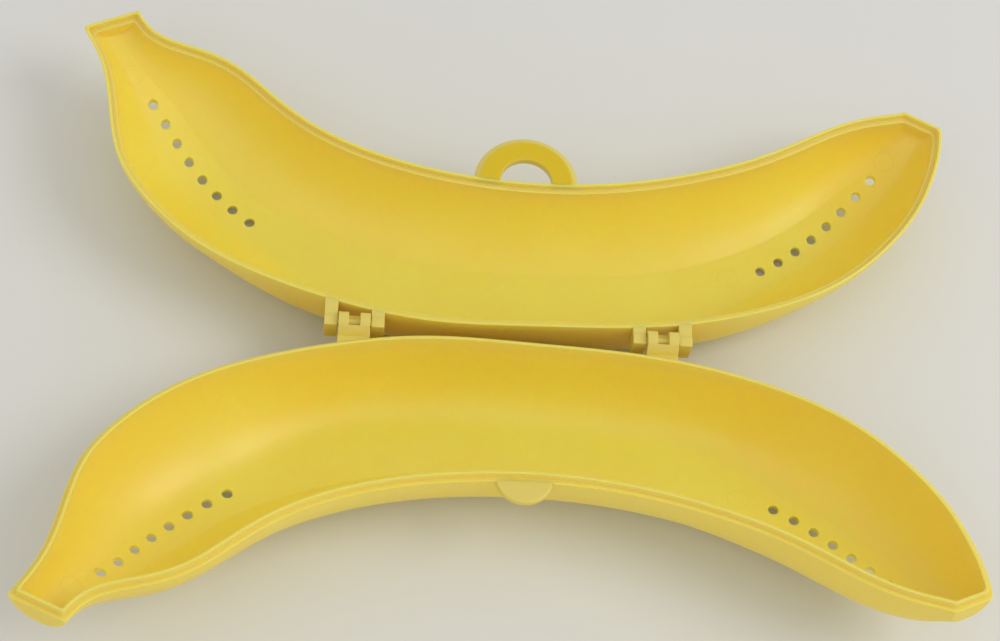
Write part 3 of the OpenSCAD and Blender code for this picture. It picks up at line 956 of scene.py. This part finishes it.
def armOutline(wallD):
    # the arm from the wall up a ramp to the hook, down the window's end, and under the pin
    root = wallD + hingeForm["root"]
    leave = arcPoints(hookRadius, hingeForm["rampAngle"], windowEnd, hingeForm["shortArc"])
    foot = leave[0, 0] + (leave[0, 1] - catchTop) * math.tan(math.radians(hingeForm["rampAngle"]))
    return np.concatenate([
        [(root, catchTop), (foot, catchTop)],
        leave,
        [(caseForm["rimToPin"], windowFloor)],
        arcPoints(boreRadius, -boreLevel, -boreMouth, hingeForm["shortArc"]),
        arcPoints(hookRadius, -outerMouth, -hingeForm["armLeave"], hingeForm["underArc"]),
        [(root, -hingeForm["armDepth"])],
    ])


def lipOutline(wallD):
    # the hook's lip past the mouth, wherever the wall is
    return np.concatenate([
        arcPoints(hookRadius, 180 + outerLevel, 180 + outerMouth, hingeForm["lipArc"]),
        arcPoints(boreRadius, 180 + boreMouth, 180 + boreLevel, hingeForm["shortArc"]),
    ])


def hookOutline(wallD):
    # the half ring over the pin, with feet tucked into the arm and the lip
    tuck = hingeForm["tuck"]
    low = windowFloor - tuck
    over = arcPoints(hookRadius, windowEnd, 180 + outerLevel, hingeForm["hookArc"])
    inArm = caseForm["rimToPin"] + tuck
    return np.concatenate([
        over,
        [(-hookRadius + 2 * tuck, low), (-boreRadius - tuck, low)],
        arcPoints(boreRadius, 180 + boreLevel, -boreLevel, hingeForm["boreArc"]),
        [(boreRadius + tuck, low), (inArm, low), (inArm, over[0, 1] - 2 * tuck)],
    ])


def joinedSolid(piece, other):
    # union of two pieces, kept as the first one's mesh
    union = piece.modifiers.new("join", "BOOLEAN")
    union.operation = "UNION"
    union.solver = "EXACT"
    union.object = other
    graph = bpy.context.evaluated_depsgraph_get()
    mesh = bpy.data.meshes.new_from_object(piece.evaluated_get(graph))
    piece.modifiers.clear()
    piece.data = mesh
    bpy.data.objects.remove(other)


def paintLitTops(piece):
    # painted light: the highlight share grows evenly with the height over the pin, with paler tops over shaded
    # lower faces
    heights = np.zeros(3 * len(piece.data.vertices))
    piece.data.vertices.foreach_get("co", heights)
    over = heights[2::3] / mm - standing["pin"][2]
    low, high = hingeForm["highlightFrom"], hingeForm["highlightTo"]
    paintHighlight(piece, np.clip((over - low) / (high - low), 0, 1))


def hingeClip(name, middle):
    # arm and lip over the whole width, and a hook on each side of the window
    half, hook = hingeForm["clipWidth"] / 2, (hingeForm["clipWidth"] - hingeForm["window"]) / 2
    x0, x1 = middle - half, middle + half
    clip = prismPiece(name, [(armOutline, x0, x1), (lipOutline, x0, x1)], placeBase)
    stretches = [(hookOutline, x0, x0 + hook), (hookOutline, x1 - hook, x1)]
    joinedSolid(clip, prismPiece(name + "Hooks", stretches, placeBase))
    cleanSolid(clip)
    paintLitTops(clip)
    roundEdges(clip, hingeForm["edgeRound"], hingeForm["edgeAngle"])
    return clip


def hingeLugs(name, middle):
    # an ear on each side of the clip
    near = hingeForm["clipWidth"] / 2 + hingeForm["lugGap"]
    far = near + hingeForm["lugWidth"]
    stretches = [(lugOutline, middle - far, middle - near), (lugOutline, middle + near, middle + far)]
    lugs = prismPiece(name, stretches, placeLid)
    paintLitTops(lugs)
    roundEdges(lugs, hingeForm["edgeRound"], hingeForm["edgeAngle"])
    return lugs


def hingePin(name, middle):
    # a round bar that swells into the ears by a quarter circle at each end
    half = hingeForm["clipWidth"] / 2 + hingeForm["lugGap"]
    run = np.linspace(0, 1, hingeForm["pinSteps"])
    swell = hingeForm["pinFillet"] * (1 - np.sqrt(1 - (1 - run) ** 2))
    side = np.concatenate([[-hingeForm["pinInto"]], hingeForm["pinFillet"] * run])
    radius = hingeForm["pinRadius"] + np.concatenate([[swell[0]], swell])
    x = np.concatenate([side - half, half - side[::-1]])[:, None] + middle
    radius = np.concatenate([radius, radius[::-1]])[:, None]
    angle = np.linspace(0, 2 * math.pi, hingeForm["pinTurns"], endpoint=False)[None]
    d = radius * np.cos(angle)
    z = radius * np.sin(angle) - standing["pinRise"]
    rows = np.stack([np.broadcast_to(x, d.shape), d, z], -1)
    piece = addMesh(name, placeLid(rows.reshape(-1, 3)), sweptFaces(*d.shape, False))
    cleanSolid(piece)
    paintLitTops(piece)
    weightedNormals(piece)
    return piece


for side, middle in (("left", -hingeForm["spacing"] / 2), ("right", hingeForm["spacing"] / 2)):
    word = side.capitalize()
    clip = hingeClip("hingeClip" + word, middle)
    finishPiece(clip, "base", ["hinge_clip_" + side], trimPlastic)
    lugs = hingeLugs("hingeLugs" + word, middle)
    finishPiece(lugs, "lid", ["hinge_lugs_" + side], trimPlastic)
    pin = hingePin("hingePin" + word, middle)
    finishPiece(pin, "lid", ["hinge_pin_" + side], trimPlastic)
    print("hinge done:", side)

stageForm = {
    "half": 2.5,  # of the table's side, in metres
    "tone": (0.79, 0.79, 0.765),
    "mottle": (0.97, 1.03),  # faint patches, as shares of the tone
    "mottleNoise": (9.0, 6.0),
    "roughness": 0.6,
    "worldTone": (1.0, 0.99, 0.97),
    "worldStrength": 0.63,
}


def tableTop():
    # one flat square with a faint mottle
    edge = stageForm["half"]
    corners = np.array([(-edge, -edge, 0), (edge, -edge, 0), (edge, edge, 0), (-edge, edge, 0)])
    table = addMesh("tableTop", corners, [[0, 1, 2, 3]])
    material = bpy.data.materials.new("paleTable")
    material.use_nodes = True
    tree = material.node_tree
    shader = tree.nodes["Principled BSDF"]
    spot = tree.nodes.new("ShaderNodeTexCoord").outputs["Object"]
    mottle = noiseOf(tree, spot, *stageForm["mottleNoise"])
    tones = [tuple(share * c for c in stageForm["tone"]) for share in stageForm["mottle"]]
    tree.links.new(mixOf(tree, mottle, *tones), shader.inputs["Base Color"])
    shader.inputs["Roughness"].default_value = stageForm["roughness"]
    table.data.materials.append(material)


tableTop()

world = bpy.data.worlds.new("softRoom")
bpy.context.scene.world = world
world.use_nodes = True
backdrop = world.node_tree.nodes["Background"]
backdrop.inputs["Color"].default_value = (*stageForm["worldTone"], 1)
backdrop.inputs["Strength"].default_value = stageForm["worldStrength"]

# lamps: place in metres, size in metres, power in watts, tone
lamps = {
    "keyLamp": ((1.25, -0.1, 1.25), 1.0, 8.6, (1.0, 0.98, 0.94)),
    "fillLamp": ((-0.8, -0.9, 1.4), 1.2, 1.8, (1.0, 0.99, 0.97)),
}
for name, (spot, size, power, tone) in lamps.items():
    light = bpy.data.lights.new(name, "AREA")
    light.shape = "DISK"
    light.size = size
    light.energy = power
    light.color = tone
    lamp = bpy.data.objects.new(name, light)
    bpy.context.scene.collection.objects.link(lamp)
    back = np.array(spot) / np.linalg.norm(spot)
    sideways = np.cross((0, 0, 1), back)
    sideways /= np.linalg.norm(sideways)
    turned = np.column_stack([sideways, np.cross(back, sideways), back])
    lamp.matrix_world = Matrix.Translation(spot) @ Matrix(turned.tolist()).to_4x4()

cameraForm = {
    "place": (-0.05608, -0.32576, 0.59531),
    "yaw": 9.074,  # degrees, right of straight ahead
    "down": 59.708,
    "roll": 11.45,
    "focal": 2.321,  # in image widths
    "sensor": 36,
    "clipStart": 0.01,
}


def photoCamera():
    # looks along its yaw and down angle, then rolls about its own axis
    yaw, down, roll = (math.radians(cameraForm[k]) for k in ("yaw", "down", "roll"))
    ahead = np.array([math.sin(yaw) * math.cos(down), math.cos(yaw) * math.cos(down), -math.sin(down)])
    right = np.array([math.cos(yaw), -math.sin(yaw), 0])
    up = np.cross(right, ahead)
    rolledRight = math.cos(roll) * right + math.sin(roll) * up
    rolledUp = math.cos(roll) * up - math.sin(roll) * right
    turned = Matrix(np.column_stack([rolledRight, rolledUp, -ahead]).tolist())
    lens = bpy.data.cameras.new("photoCamera")
    lens.sensor_fit = "HORIZONTAL"
    lens.sensor_width = cameraForm["sensor"]
    lens.lens = cameraForm["sensor"] * cameraForm["focal"]
    lens.clip_start = cameraForm["clipStart"]
    camera = bpy.data.objects.new("photoCamera", lens)
    bpy.context.scene.collection.objects.link(camera)
    camera.matrix_world = Matrix.Translation(cameraForm["place"]) @ turned.to_4x4()
    bpy.context.scene.camera = camera


photoCamera()
bpy.context.scene.view_settings.view_transform = "Standard"
print("stage, lamps and camera done")
